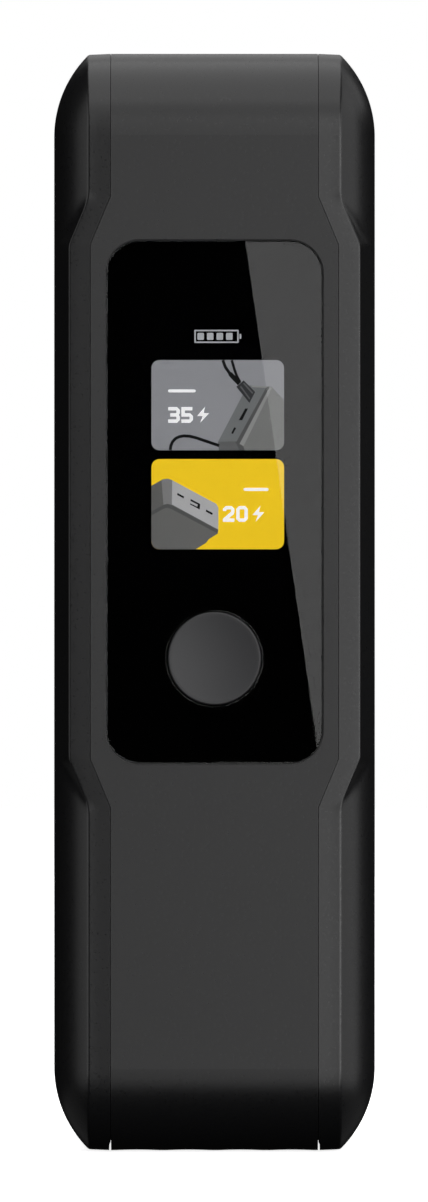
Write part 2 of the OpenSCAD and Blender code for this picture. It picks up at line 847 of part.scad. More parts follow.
module thermistor() {
    color("#7a4a20") translate([(cell_tape_t + cell_t) / 2, 0, cell_high_z + 0.5]) rotate([90, 0, 0])
        cylinder(h = 3, r = 0.5, center = true);
}

module insulating_sheet() {
    color("#cfc8a8") box([-display_board_w / 2, cell_front_y - sheet_t, display_board_low],
        [display_board_w / 2, cell_front_y, cell_high_z - 1]);
}

centre_frame();
left_cover();
right_cover();
cover_screws();
display_glass();
glass_tape();
screen_adhesive();
screen_panel();
screen_light();
screen_flex();
screen_foam();
display_board();
display_screws();
button_cap();
switch_body();
switch_dome();
switch_plunger();
main_board();
board_screws();
usb_a_shell();
usb_a_tongue();
usb_a_contacts();
usb_c_shell_front();
usb_c_tongue_front();
usb_c_base_front();
usb_c_shell_rear();
usb_c_tongue_rear();
usb_c_base_rear();
inductor_front();
inductor_rear();
filter_capacitors();
charge_controller();
microcontroller();
power_mosfets();
thermal_pad();
heat_spreader();
display_socket();
main_socket();
display_cable();
battery_cell_left();
battery_cell_right();
cell_tape();
cell_pad_left();
cell_pad_right();
cell_tabs();
protection_board();
protection_mosfet();
thermistor();
battery_lead_red();
battery_lead_black();
insulating_sheet();
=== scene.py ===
import json
import math

import bpy
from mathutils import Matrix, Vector


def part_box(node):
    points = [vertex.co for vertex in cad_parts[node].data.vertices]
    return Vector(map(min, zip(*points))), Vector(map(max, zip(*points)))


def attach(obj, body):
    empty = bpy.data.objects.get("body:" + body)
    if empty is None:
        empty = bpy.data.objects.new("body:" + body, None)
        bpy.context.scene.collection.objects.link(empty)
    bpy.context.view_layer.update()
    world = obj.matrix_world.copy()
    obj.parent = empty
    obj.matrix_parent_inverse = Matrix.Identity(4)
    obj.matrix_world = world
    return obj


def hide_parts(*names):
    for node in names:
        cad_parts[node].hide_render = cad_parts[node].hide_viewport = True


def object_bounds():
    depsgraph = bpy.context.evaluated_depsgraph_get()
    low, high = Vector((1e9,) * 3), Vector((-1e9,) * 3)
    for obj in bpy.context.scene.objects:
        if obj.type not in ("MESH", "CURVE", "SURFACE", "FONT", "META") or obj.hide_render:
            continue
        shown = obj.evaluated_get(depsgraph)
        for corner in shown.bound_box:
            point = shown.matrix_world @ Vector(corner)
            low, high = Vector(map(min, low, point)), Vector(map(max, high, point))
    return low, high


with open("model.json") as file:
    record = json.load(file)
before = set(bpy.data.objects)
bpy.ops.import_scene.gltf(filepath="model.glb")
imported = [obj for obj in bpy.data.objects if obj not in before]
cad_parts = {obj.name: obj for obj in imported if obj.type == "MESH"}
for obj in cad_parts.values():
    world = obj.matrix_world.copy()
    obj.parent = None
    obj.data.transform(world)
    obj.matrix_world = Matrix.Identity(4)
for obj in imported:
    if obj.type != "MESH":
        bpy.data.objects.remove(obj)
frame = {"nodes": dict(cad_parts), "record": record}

bl_info = {
    "name": "Portable battery pack",
    "version": (1, 0, 0),
    "blender": (4, 5, 0),
    "location": "View3D > Sidebar > Battery Pack",
    "description": "Makes the covers, window, screen pictures, button, finishes and stage of a battery pack",
    "category": "Object",
}

MM = 0.001
CAD_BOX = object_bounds()
HALF_T = CAD_BOX[1].x / MM
FRONT = CAD_BOX[0].y / MM
HEIGHT = CAD_BOX[1].z / MM


# ---------------------------------------------------------------- settings


def size(name, default, low, high, description, **more):
    """A number that a user may set."""
    return bpy.props.FloatProperty(
        name=name, default=default, min=low, max=high, description=description, **more)


def colour(name, default, description):
    """An sRGB hex colour that a user may set."""
    return bpy.props.StringProperty(name=name, default=default, description=description)


class CaseSizes(bpy.types.PropertyGroup):
    """Sizes of the moulded covers, in millimetres."""

    edge_radius: size("Edge radius", 11.5, 9, 14, "Radius of the rounded long edges")
    edge_depth: size("Edge depth", 8.3, 7, 9, "How far the rounded edges reach in from the narrow faces")
    margin_width: size("Margin width", 2.15, 1.8, 2.6, "From the parting line to the crisp edge")
    margin_drop: size("Margin drop", 0.09, 0, 0.2, "How far the crisp edge lies below the parting line")
    wall: size("Wall", 1.8, 1.5, 2.2, "Thickness of the covers")
    part_gap: size("Parting gap", 0.05, 0.03, 0.1, "Gap between a cover and the frame")
    raise_width: size("Raise width", 2.0, 1.6, 2.4, "Extra reach of the raised middle to each side")
    raise_height: size("Raise height", 51.1, 45, 62, "Height of the raised middle at full width")
    ramp_height: size("Ramp height", 4.8, 4, 6, "Height of each ramp of the raised middle")
    window_middle: size("Window middle", 64.65, 62, 66, "Height of the window's middle above the base")
    edge_round: size("Crisp edge rounding", 0.16, 0.05, 0.4, "Rounding between margin and rounded edge")
    slit_height: size("Slit height", 0.9, 0.3, 2, "Height of the two drain slits at the base")
    slit_front: size("Slit width, front", 0.1, 0, 0.3, "Width of the drain slits at the front")
    slit_back: size("Slit width, back", 0.5, 0, 0.8, "Width of the drain slits at the back")


class WindowSizes(bpy.types.PropertyGroup):
    """Sizes of the window glass, its print and the button, in millimetres."""

    glass_corner: size("Glass corner", 3.3, 2, 5, "Corner radius of the window glass")
    glass_bevel: size("Glass bevel", 0.1, 0.02, 0.2, "Polished bevel round the glass and its hole")
    hole_radius: size("Hole radius", 4.75, 4.7, 5, "Radius of the button's hole in the glass")
    print_inset: size("Print inset", 0.06, 0, 0.3, "How far the black print stays inside the glass")
    print_hole: size("Print hole", 4.66, 4.62, 4.9, "Radius of the button's hole in the black print")
    print_border: size("Print border", 0.35, 0.1, 1, "How far the print covers the edge of the screen panel")
    button_radius: size("Button radius", 4.6, 4.4, 4.6, "Radius of the button where it shows")
    button_rim: size("Button rim", 0.1, 0.05, 0.3, "Rounding of the button's rim")
    dish_radius: size("Dish radius", 4.42, 3, 4.45, "Radius of the hollow in the button's face")
    dish_depth: size("Dish depth", 0.35, 0.1, 0.6, "Depth of the hollow in the button's face")
    post_radius: size("Post radius", 1.2, 0.8, 1.6, "Radius of the post that presses the switch")


class FinishColours(bpy.types.PropertyGroup):
    """Colours of the parts that show, as sRGB hex values."""

    case: colour("Case", "#101011", "Colour of the case plastic")
    button: colour("Button", "#29292b", "Colour of the push button")
    grey_card: colour("Grey card", "#828387", "Upper card on the screen")
    yellow_card: colour("Yellow card", "#e5bf23", "Lower card on the screen")
    case_roughness: size("Case roughness", 0.31, 0.05, 1, "Roughness of the case plastic", subtype="FACTOR")
    screen_glow: size("Screen glow", 0.62, 0, 2, "How brightly the screen's pictures shine")


class StageSettings(bpy.types.PropertyGroup):
    """Camera, floor and lights, in metres but for the lens."""

    lens: size("Lens", 550, 50, 800, "Focal length of the camera in millimetres")
    frame_height: size(
        "Frame height", 0.1199, 0.1, 1, "Height seen a little behind the display face", unit="LENGTH")
    aim_height: size("Aim height", 0.0548, 0, 1, "Height of the camera above the floor", unit="LENGTH")
    floor_size: size("Floor size", 6.0, 1, 20, "Side of the square floor", unit="LENGTH")
    key_radiance: size("Light", 1.0, 0, 10, "Brightness of all the softboxes together")


# ---------------------------------------------------------------- small tools


def edit(on=True):
    """Into or out of edit mode."""
    bpy.ops.object.mode_set(mode="EDIT" if on else "OBJECT")


def clear_selection():
    """Back to object mode with nothing selected."""
    if bpy.context.object and bpy.context.object.mode != "OBJECT":
        edit(False)
    bpy.ops.object.select_all(action="DESELECT")


def only(piece):
    """Selects one piece and makes it the active one."""
    clear_selection()
    piece.select_set(True)
    bpy.context.view_layer.objects.active = piece


def tidy_mesh(piece, merge=0.0005 * MM):
    """Merges doubles and turns all faces outwards."""
    only(piece)
    edit()
    bpy.ops.mesh.select_all(action="SELECT")
    bpy.ops.mesh.remove_doubles(threshold=merge)
    bpy.ops.mesh.normals_make_consistent(inside=False)
    edit(False)


def apply_modifier(piece, kind, **settings):
    """Adds a modifier and applies it at once."""
    only(piece)
    modifier = piece.modifiers.new(kind.title(), kind)
    for name, value in settings.items():
        setattr(modifier, name, value)
    bpy.ops.object.modifier_apply(modifier=modifier.name)


def smooth(piece, degrees):
    """Shades a piece smooth, but for edges sharper than an angle."""
    only(piece)
    bpy.ops.object.shade_smooth_by_angle(angle=math.radians(degrees))


def hand_over(piece, name, material, body="case", stands_for=()):
    """Names a finished piece, gives it its finish and lets it ride on its body."""
    piece.name = piece.data.name = name
    piece.data.materials.clear()
    piece.data.materials.append(material)
    if stands_for:
        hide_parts(*stands_for)
    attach(piece, body)
    clear_selection()


def plate(outline, front, back):
    """A flat plate: outline is its (x, z) corners in order, front and back are its two y values."""
    clear_selection()
    bpy.ops.mesh.primitive_circle_add(vertices=len(outline), radius=MM, fill_type="NGON")
    piece = bpy.context.object
    for vertex, (x, z) in zip(piece.data.vertices, outline):
        vertex.co = Vector((x, front, z)) * MM
    edit()
    bpy.ops.mesh.select_all(action="SELECT")
    bpy.ops.mesh.extrude_region_move(TRANSFORM_OT_translate={"value": (0, (back - front) * MM, 0)})
    edit(False)
    tidy_mesh(piece)
    return piece


def round_corners(x0, z0, x1, z1, radius, steps=8):
    """The outline of a rectangle with round corners."""
    outline = []
    for cx, cz, start in ((x1 - radius, z1 - radius, 0), (x0 + radius, z1 - radius, 90),
                          (x0 + radius, z0 + radius, 180), (x1 - radius, z0 + radius, 270)):
        for step in range(steps + 1):
            turn = math.radians(start + 90 * step / steps)
            outline.append((cx + radius * math.cos(turn), cz + radius * math.sin(turn)))
    return outline


def join(pieces):
    """Makes several pieces one."""
    clear_selection()
    for piece in pieces:
        piece.select_set(True)
    bpy.context.view_layer.objects.active = pieces[0]
    bpy.ops.object.join()
    return bpy.context.object


def turned(profile, centre_z, steps):
    """A solid turned about a line along Y. The profile is (radius, y) from the axis round to the axis."""
    clear_selection()
    bpy.ops.mesh.primitive_circle_add(vertices=len(profile), radius=MM, fill_type="NOTHING")
    piece = bpy.context.object
    for vertex, (radius, y) in zip(piece.data.vertices, profile):
        vertex.co = Vector((radius, y, centre_z)) * MM
    edit()
    bpy.ops.mesh.select_mode(type="EDGE")
    edit(False)
    for vertex in piece.data.vertices:
        vertex.select = False
    for edge in piece.data.edges:
        edge.select = all(abs(piece.data.vertices[i].co.x) < 1e-9 for i in edge.vertices)
    edit()
    bpy.ops.mesh.delete(type="EDGE")
    bpy.ops.mesh.select_mode(type="VERT")
    bpy.ops.mesh.select_all(action="SELECT")
    bpy.ops.mesh.spin(steps=steps, angle=math.tau, center=(0, 0, centre_z * MM), axis=(0, 1, 0))
    edit(False)
    tidy_mesh(piece, 0.005 * MM)
    return piece


# ---------------------------------------------------------------- materials


BASE_GRAIN = (0.3, 0.7)  # where a noise pattern has nearly all its values


def shaded(colour, factor):
    """A linear colour made darker or lighter."""
    return [c * factor for c in colour[:3]] + [1.0]


def linear(hex_colour):
    """sRGB hex to the linear colour that shaders take."""
    channels = [int(hex_colour[i:i + 2], 16) / 255 for i in (1, 3, 5)]
    return [c / 12.92 if c <= 0.04045 else ((c + 0.055) / 1.055) ** 2.4 for c in channels] + [1.0]


def add(tree, kind, inputs=None, **settings):
    """Adds a node with its settings, and its inputs as values or as sockets to link from."""
    node = tree.nodes.new(kind)
    for name, value in settings.items():
        setattr(node, name, value)
    for name, value in (inputs or {}).items():
        if isinstance(value, bpy.types.NodeSocket):
            tree.links.new(value, node.inputs[name])
        else:
            node.inputs[name].default_value = value
    return node


def new_material(name):
    """An empty node material, its tree, and the place on the object as a socket."""
    material = bpy.data.materials.new(name)
    material.use_nodes = True
    tree = material.node_tree
    tree.nodes.clear()
    return material, tree, add(tree, "ShaderNodeTexCoord").outputs["Object"]


def noise(tree, place, width, detail=2.0):
    """A noise pattern with features of a width in millimetres."""
    return add(tree, "ShaderNodeTexNoise", {
        "Vector": place, "Scale": 1 / (width * MM), "Detail": detail}).outputs["Fac"]


def spread(tree, pattern, low, high, start=0.0, end=1.0):
    """A value that goes from low to high while a pattern goes from start to end."""
    return add(tree, "ShaderNodeMapRange", {
        "Value": pattern, "From Min": start, "From Max": end,
        "To Min": low, "To Max": high}).outputs["Result"]


def tinted(tree, pattern, low, high):
    """A colour between two colours, by a pattern."""
    return add(tree, "ShaderNodeMixRGB", {
        "Fac": pattern, "Color1": low, "Color2": high}).outputs["Color"]


def relief(tree, pattern, strength, depth):
    """A pattern as relief, with its depth in millimetres."""
    return add(tree, "ShaderNodeBump", {
        "Height": pattern, "Strength": strength, "Distance": depth * MM}).outputs["Normal"]


def finish_with(tree, **inputs):
    """Ends a material with its shader; the inputs are values or sockets, with _ for a space."""
    shader = add(tree, "ShaderNodeBsdfPrincipled", {k.replace("_", " "): v for k, v in inputs.items()})
    add(tree, "ShaderNodeOutputMaterial", {"Surface": shader.outputs["BSDF"]})
    return shader


def moulded(name, colour, roughness, grain=0.25, depth=0.006, shade=0.06, **more):
    """Moulded or pressed surface: an even colour with a fine grain, in millimetres, in gloss and relief."""
    material, tree, place = new_material(name)
    fine, broad = noise(tree, place, grain), noise(tree, place, 12, 3.0)
    base = linear(colour)
    low, high = max(0.02, roughness - 0.04), min(1.0, roughness + 0.04)
    finish_with(tree, Base_Color=tinted(tree, broad, shaded(base, 1 - shade), shaded(base, 1 + shade)),
                Roughness=spread(tree, fine, low, high, *BASE_GRAIN),
                Normal=relief(tree, fine, 0.35, depth), **more)
    return material


def rolled_metal(name, colour, roughness, line=0.08, along="Z"):
    """Rolled or drawn metal: fine lines along one axis, a line's width in millimetres."""
    material, tree, place = new_material(name)
    stretch = [1.0 if axis != along else 0.04 for axis in "XYZ"]
    lined = add(tree, "ShaderNodeMapping", {"Vector": place, "Scale": stretch}).outputs["Vector"]
    lines, cloud = noise(tree, lined, line, 1.0), noise(tree, place, 3)
    base = linear(colour)
    finish_with(tree, Base_Color=tinted(tree, cloud, shaded(base, 0.9), base), Metallic=1.0,
                Roughness=spread(tree, lines, roughness - 0.06, roughness + 0.06, *BASE_GRAIN),
                Normal=relief(tree, lines, 0.3, 0.003))
    return material


def soldered_board(name, mask, track):
    """Fibreglass board under solder mask: paler tracks show through between cells of 1 by 2 mm."""
    material, tree, place = new_material(name)
    cells = add(tree, "ShaderNodeTexBrick", {
        "Vector": place, "Scale": 1 / (4 * MM), "Mortar Size": 0.06, "Mortar Smooth": 0.1,
        "Color1": linear(mask), "Color2": linear(mask), "Mortar": linear(track)}, offset=0.5)
    cloth = noise(tree, place, 0.4, 1.0)
    finish_with(tree, Base_Color=cells.outputs["Color"], Roughness=spread(tree, cloth, 0.28, 0.4),
                Normal=relief(tree, cloth, 0.2, 0.004))
    return material


def toughened_glass():
    """Toughened float glass, polished: a clear pane with a hard mirror sheen and faint smears.

    Real float glass has an index of 1.52. It is 1.28 here, as an antireflection coating would leave
    it, so that the mirror sheen of the bright softbox stays a dim grey over the black print.
    """
    material, tree, place = new_material("polished_toughened_glass")
    gloss = spread(tree, noise(tree, place, 9), 0.0, 0.008, 0.35, 0.75)
    finish_with(tree, Base_Color=linear("#f4f4f4"), Roughness=gloss, IOR=1.28, Transmission_Weight=1.0)
    return material


def black_print():
    """Screen-printed ceramic ink on the back of the glass: dead black, with a mesh grain of 0.15 mm."""
    return moulded("screen_printed_black_ink", "#020202", 0.9, grain=0.15, depth=0.0005,
                   Specular_IOR_Level=0.0)


def clear_bond():
    """Optical adhesive film: clear and index matched, so almost nothing of it is seen."""
    material, tree, place = new_material("optical_adhesive_film")
    gloss = spread(tree, noise(tree, place, 5), 0.1, 0.2)
    finish_with(tree, Base_Color=linear("#101214"), Roughness=gloss, Alpha=0.02, Specular_IOR_Level=0.0)
    return material


def lit_picture(name, colour, glow):
    """A lit area of a colour screen: even light, with the panel's own dots 0.12 mm apart barely showing."""
    material, tree, place = new_material(name)
    dots = add(tree, "ShaderNodeTexVoronoi", {"Vector": place, "Scale": 1 / (0.12 * MM), "Randomness": 0.0})
    base = linear(colour)
    finish_with(tree, Base_Color=tinted(tree, dots.outputs["Distance"], base, shaded(base, 0.97)),
                Roughness=0.5, Specular_IOR_Level=0.0, Emission_Color=base, Emission_Strength=glow)
    return material


def all_finishes(colours):
    """Every finish by its slot name."""
    return {
        # polycarbonate blend, spark-eroded mould: dead even satin with a grit too fine to show,
        # drawn at 0.25 mm instead of 0.05 mm
        "case_plastic": moulded("spark_eroded_polycarbonate", colours.case, colours.case_roughness),
        "window_glass": toughened_glass(),
        # the same resin, a little paler and finer, so the dish of the button reads as a soft gradient
        "button_plastic": moulded("fine_moulded_polycarbonate", colours.button, 0.5, grain=0.2, depth=0.004),
        # acrylic foam tape: black, quite matt, with closed cells about 0.2 mm wide
        "adhesive": moulded("black_acrylic_foam_tape", "#050505", 0.8, grain=0.2, depth=0.02,
                            Specular_IOR_Level=0.0),
        "clear_adhesive": clear_bond(),
        # front glass and polariser of the panel: black and smooth; bonded, so without a sheen of its own
        "screen": moulded("polariser_black_panel", "#030304", 0.3, grain=0.5, depth=0.001,
                          Specular_IOR_Level=0.0),
        # stamped aluminium tray of the backlight: pale grey with the lines of its rolling
        "light_unit": rolled_metal("stamped_aluminium_back", "#c9ccd1", 0.32, along="X"),
        # polyimide film: amber and slightly glossy
        "flex": moulded("amber_polyimide_film", "#b5762a", 0.35, grain=0.6, depth=0.002),
        # polyurethane foam: dark, matt, with cells 0.35 mm wide
        "foam": moulded("closed_cell_foam", "#26282b", 0.9, grain=0.35, depth=0.05),
        # fibreglass laminate under solder mask: glossy green or blue with paler tracks
        "circuit_board": soldered_board("green_masked_board", "#15492d", "#1f6a40"),
        "battery_board": soldered_board("blue_masked_board", "#17355c", "#24508a"),
        # zinc plate: bright bluish grey with a fine turned grain
        "screw_steel": rolled_metal("zinc_plated_steel", "#b9bcc0", 0.3, line=0.1, along="X"),
        # glass-filled nylon: dull black, slightly rough from its fibres
        "switch_plastic": moulded("glass_filled_nylon", "#222222", 0.55, grain=0.15),
        # gold-plated brass spring: warm and bright, with fine stamping lines
        "contact_brass": rolled_metal("gold_plated_brass", "#d9b45a", 0.22, line=0.06),
        # acetal: milky white, slightly see-through and slippery smooth
        "plunger_plastic": moulded("white_acetal", "#e0e0dd", 0.35, grain=0.3, depth=0.002,
                                   Subsurface_Weight=0.1),
        # deep-drawn nickel-plated shells: bright, with draw lines along Z
        "socket_steel": rolled_metal("nickel_plated_steel", "#c3c3c0", 0.24, line=0.08),
        # liquid crystal polymer: opaque and satin, with a fine flow grain
        "socket_plastic_light": moulded("white_liquid_crystal_polymer", "#ecece4", 0.45, grain=0.2),
        "socket_plastic_dark": moulded("black_liquid_crystal_polymer", "#151516", 0.45, grain=0.2),
        # pressed iron powder: dark grey and grainy
        "ferrite": moulded("pressed_iron_powder", "#4a4c50", 0.7, grain=0.12, depth=0.02, shade=0.15),
        # drawn aluminium can: bright, with draw lines along its length
        "capacitor_can": rolled_metal("drawn_aluminium_can", "#d0d2d6", 0.22, along="X"),
        # moulded epoxy: near black and matt, with a gritty grain of 0.1 mm
        "chip": moulded("moulded_epoxy_package", "#17181a", 0.6, grain=0.1, depth=0.008),
        # filled silicone: chalky blue-grey and soft looking
        "thermal_silicone": moulded("filled_silicone_pad", "#8fa3b8", 0.75, grain=0.3, depth=0.01),
        # rolled aluminium sheet: plain satin metal, with rolling lines along Y
        "spreader": rolled_metal("rolled_aluminium_sheet", "#c4c7cb", 0.35, line=0.12, along="Y"),
        # laminated aluminium pouch: soft silver with faint wrinkles a few millimetres apart
        "cell_pouch": rolled_metal("laminated_aluminium_pouch", "#b9bfc6", 0.42, line=1.5, along="Z"),
        # nickel strip: warm silver with rolling lines
        "cell_nickel": rolled_metal("nickel_strip", "#cfd0cf", 0.3, along="Z"),
        # silicone insulation: even colour, satin, faintly uneven
        "lead_red": moulded("red_silicone_lead", "#b3201c", 0.5, grain=0.3, depth=0.004),
        "lead_black": moulded("black_silicone_lead", "#151515", 0.5, grain=0.3, depth=0.004),
        # extruded vinyl sheath: dark grey satin
        "cable_grey": moulded("grey_sheathed_cable", "#3a3a3a", 0.55, grain=0.3, depth=0.004),
        # dipped epoxy: brown and glassy, with slow waves about 1 mm wide
        "sensor_epoxy": moulded("dipped_epoxy_bead", "#7a4a20", 0.2, grain=1.0, depth=0.01),
        # vulcanised fibre card: warm buff with short fibres
        "fish_paper": moulded("vulcanised_fibre_card", "#cfc8a8", 0.85, grain=0.5, depth=0.02, shade=0.1),
    }


def finish_of(slot):
    """The finish for a slot, made once."""
    if not FINISHES:
        FINISHES.update(all_finishes(bpy.context.scene.pack_colours))
    return FINISHES[slot]


FINISHES = {}


# ---------------------------------------------------------------- covers


SUPPORT = 0.05  # how far, in millimetres, support points lie from the parting edge and the crisp edge
RAMP_LEAN = 0.083  # the share of the wall's lean that the ramps take
BEYOND, INSIDE = 3, 8  # the grid is fine from 3 mm beyond a ramp's foot to 8 mm inwards of it


class CoverShape:
    """The outer surface of a cover, as (x, depth below the face) at each place round the case."""

    def __init__(self, sizes):
        self.s = sizes
        self.edge_x = HALF_T - sizes.edge_radius
        self.face_half = self.arc(0)
        self.part_half = self.face_half - sizes.margin_width
        self.corner_y = -FRONT - sizes.edge_depth
        self.high = HEIGHT - sizes.edge_depth
        self.low = sizes.edge_depth
        self.tall = sizes.raise_height / 2 + sizes.ramp_height
        self.slope = sizes.raise_width / sizes.ramp_height
        # the wall of the raised middle leaves the crisp edge and touches the rounded edge
        raised = self.face_half + sizes.raise_width
        run = math.hypot(raised - self.edge_x, sizes.edge_depth)
        turn = math.acos(sizes.edge_radius / run) - math.atan(sizes.edge_depth / (raised - self.edge_x))
        self.end_depth = sizes.edge_depth + sizes.edge_radius * math.sin(turn)
        self.end_x = self.edge_x + sizes.edge_radius * math.cos(turn)
        self.lean = (self.end_x - raised) / self.end_depth
        self.raised = raised

    def arc(self, depth):
        """How far out the rounded edge is at a depth below the narrow face."""
        r = self.s.edge_radius
        return self.edge_x + math.sqrt(r * r - (self.s.edge_depth - depth) ** 2)

    def rise(self, depth, t):
        """How far the raised middle stands out from the rounded edge; t is the way from the ramp's foot."""
        if t is None or depth >= self.end_depth:
            return 0.0
        full = max(0.0, self.raised + self.lean * depth - self.arc(depth))
        if full <= 0:
            return 0.0
        level = full - self.s.raise_width + t * self.slope + self.lean * depth * RAMP_LEAN
        # the reach of the round passages where a ramp begins and where it meets the full rise
        foot = min(0.75 * full, 0.42 + 0.1 * depth)
        top = min(0.22 * full, 0.16)
        level = soft_max(level, 0.0, foot)
        return -soft_max(-level, -full, top)

    def parting(self, t):
        """Where the cover begins beside the frame."""
        extra = 0.0 if t is None else min(max(t * self.slope, 0.0), self.s.raise_width)
        return self.part_half + self.s.part_gap + extra

    def slit(self, y, z):
        """Extra gap of the drain slit under the base, a little wider towards the back."""
        near, far = self.s.slit_front, self.s.slit_back
        return near + (far - near) * (y - FRONT) / (-2 * FRONT) if z < self.s.slit_height else 0.0

    def section(self, t, slit):
        """Points of the section from the parting line to the broad face."""
        s = self.s
        start = self.parting(t) + slit
        crisp = self.arc(s.margin_drop) + self.rise(s.margin_drop, t)
        tilt = s.margin_drop / s.margin_width
        e = s.edge_round
        points = [(x, (x - start) * tilt)
                  for x in (start, start + SUPPORT, (start + crisp - e) / 2, crisp - e - SUPPORT)]
        a = (crisp - e, s.margin_drop - e * tilt)
        b = (crisp, s.margin_drop)
        low = s.margin_drop + e
        c = (self.arc(low) + self.rise(low, t), low)
        for k in range(6):
            u = k / 5
            points.append(tuple(a[i] * (1 - u) ** 2 + 2 * b[i] * u * (1 - u) + c[i] * u * u for i in (0, 1)))
        steps = 20
        for k in range(1, steps + 1):
            depth = low + (s.edge_depth - low) * k / steps
            points.append((self.arc(depth) + self.rise(depth, t), depth))
        return points

    def way_round(self):
        """Places round the case: (centre y, centre z, outward y, outward z, way from the ramp's foot)."""
        middle = self.s.window_middle
        edges = [self.low, middle - self.tall - BEYOND, middle - self.tall + INSIDE,
                 middle + self.tall - INSIDE, middle + self.tall + BEYOND, self.high]
        counts = [5, 40, 9, 40, 3]
        heights = []
        for low, high, count in zip(edges, edges[1:], counts):
            heights += [low + (high - low) * k / count for k in range(count)]
        heights.append(self.high)
        ramp_ends = [middle + s * h for s in (-1, 1) for h in (self.tall, self.tall - self.s.ramp_height)]
        heights = sorted(set(heights + ramp_ends))
        ways = [self.tall - abs(z - middle) for z in heights]
        cy, turns = self.corner_y, 20
        places = [(-cy, z, -1, 0, t) for z, t in zip(heights, ways)]
        places += [(-cy, self.high, -math.cos(a), math.sin(a), None) for a in quarter(turns)]
        places += [(y, self.high, 0, 1, None) for y in (-cy, -cy / 3, cy / 3, cy)]
        places += [(cy, self.high, math.sin(a), math.cos(a), None) for a in quarter(turns)]
        places += [(cy, z, 1, 0, t) for z, t in zip(reversed(heights), reversed(ways))]
        places += [(cy, self.low, math.cos(a), -math.sin(a), None) for a in quarter(turns)]
        places += [(y, self.low, 0, -1, None) for y in (cy, cy / 3, -cy / 3, -cy)]
        places += [(-cy, self.low, -math.sin(a), -math.cos(a), None) for a in quarter(turns)]
        return places


def soft_max(a, b, blend):
    """The larger of two values, with a round passage between them."""
    if blend <= 0:
        return max(a, b)
    near = max(blend - abs(a - b), 0.0)
    return max(a, b) + near * near / (4 * blend)


def quarter(steps):
    """The angles between the ends of a quarter turn."""
    return [math.pi / 2 * k / steps for k in range(1, steps)]


def cover_skin(shape, side):
    """One cover's outer skin: a grid laid round the case, closed by its broad face."""
    places = shape.way_round()
    depth_all = shape.s.edge_depth
    rows = [[(x, cy + ny * (depth_all - d), cz + nz * (depth_all - d))
             for x, d in shape.section(t, shape.slit(cy + ny * depth_all, cz + nz * depth_all))]
            for cy, cz, ny, nz, t in places]
    rows.append(rows[0])
    across = len(rows[0])
    clear_selection()
    bpy.ops.mesh.primitive_grid_add(x_subdivisions=len(rows) - 1, y_subdivisions=across - 1, size=2)
    piece = bpy.context.object
    vertices = piece.data.vertices
    xs = sorted({round(v.co.x, 5) for v in vertices})
    ys = sorted({round(v.co.y, 5) for v in vertices})
    if len(xs) != len(rows) or len(ys) != across:
        raise RuntimeError(f"the grid has {len(xs)} by {len(ys)} points, not {len(rows)} by {across}")
    row_at = {x: i for i, x in enumerate(xs)}
    column_at = {y: j for j, y in enumerate(ys)}
    for vertex in vertices:
        x, y, z = rows[row_at[round(vertex.co.x, 5)]][column_at[round(vertex.co.y, 5)]]
        vertex.co = Vector((side * x, y, z)) * MM
    edit()
    bpy.ops.mesh.select_all(action="SELECT")
    bpy.ops.mesh.remove_doubles(threshold=0.0005 * MM)
    bpy.ops.mesh.select_mode(type="EDGE")
    bpy.ops.mesh.select_all(action="DESELECT")
    bpy.ops.mesh.select_non_manifold(extend=False, use_wire=False, use_boundary=True,
                                     use_multi_face=False, use_non_contiguous=False, use_verts=False)
    edit(False)
    limit = HALF_T - 0.01
    mesh = piece.data
    for edge in mesh.edges:
        inner = any(abs(mesh.vertices[i].co.x) < limit * MM for i in edge.vertices)
        if inner:
            edge.select = False
    chosen = {i for e in mesh.edges if e.select for i in e.vertices}
    for vertex in mesh.vertices:
        vertex.select = vertex.index in chosen
    for face in mesh.polygons:
        face.select = False
    edit()
    bpy.ops.mesh.edge_face_add()
    # a narrow ring keeps the broad face flat to its rim
    bpy.ops.mesh.inset(thickness=0.4 * MM)
    bpy.ops.mesh.select_mode(type="VERT")
    edit(False)
    tidy_mesh(piece)
    # an open skin has no inside of its own: its broad face has to look away from the middle
    broad = max(mesh.polygons, key=lambda face: face.area)
    if broad.normal.x * side < 0:
        only(piece)
        edit()
        bpy.ops.mesh.select_all(action="SELECT")
        bpy.ops.mesh.flip_normals()
        edit(False)
    return piece


class PACK_OT_covers(bpy.types.Operator):
    """Makes the two smooth covers with their raised middles."""

    bl_idname = "pack.covers"
    bl_label = "Covers"

    def execute(self, context):
        shape = CoverShape(context.scene.pack_case)
        for side, name in ((-1, "left_cover"), (1, "right_cover")):
            piece = cover_skin(shape, side)
            apply_modifier(piece, "SOLIDIFY", thickness=shape.s.wall * MM, offset=-1, use_even_offset=True)
            smooth(piece, 40)
            hand_over(piece, name + "_shell", finish_of("case_plastic"), stands_for=[name])
        return {"FINISHED"}


# ---------------------------------------------------------------- window, screen and button


def cut_with(piece, cutter):
    """Cuts one piece out of another and removes it."""
    apply_modifier(piece, "BOOLEAN", object=cutter, operation="DIFFERENCE", solver="EXACT")
    bpy.data.objects.remove(cutter)


def cut_round_hole(piece, z, radius, y):
    """Cuts a hole along Y in the middle of a plate."""
    clear_selection()
    bpy.ops.mesh.primitive_cylinder_add(
        vertices=96, radius=radius * MM, depth=4 * MM, location=(0, y * MM, z * MM),
        rotation=(math.pi / 2, 0, 0))
    cut_with(piece, bpy.context.object)


